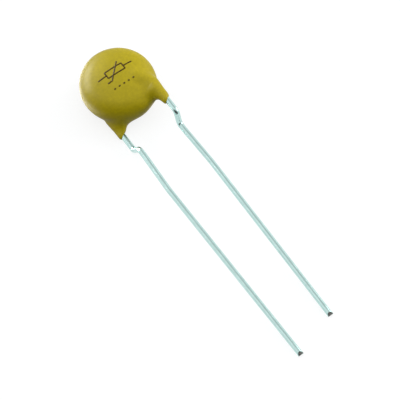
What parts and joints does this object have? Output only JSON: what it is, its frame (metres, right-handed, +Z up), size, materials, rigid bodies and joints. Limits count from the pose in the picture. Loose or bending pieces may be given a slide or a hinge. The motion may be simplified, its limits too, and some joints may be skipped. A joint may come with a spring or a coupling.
{
  "type": "disc varistor",
  "caption": "Round disc varistor in a dipped epoxy coating, with kinked tinned wire leads for a through-hole circuit board.",
  "frame": {"origin": "on the surface that the part lies on, under the middle of its box", "axes": "+Z up out of the front face, -Y towards the lead ends, +X towards the front lead"},
  "size_m": [0.0078, 0.0378, 0.0045],
  "materials": {
    "epoxy": "ochre epoxy with a soft gloss",
    "zinc_oxide": "fired dark grey ceramic",
    "silver": "fired matt silver",
    "solder": "dull solder",
    "tinned_wire": "bright tinned copper wire"
  },
  "bodies": {
    "root": {"epoxy_coating": "epoxy", "ceramic_disc": "zinc_oxide", "front_electrode": "silver", "back_electrode": "silver", "front_solder": "solder", "back_solder": "solder", "front_lead": "tinned_wire", "back_lead": "tinned_wire"}
  },
  "joints": []
}
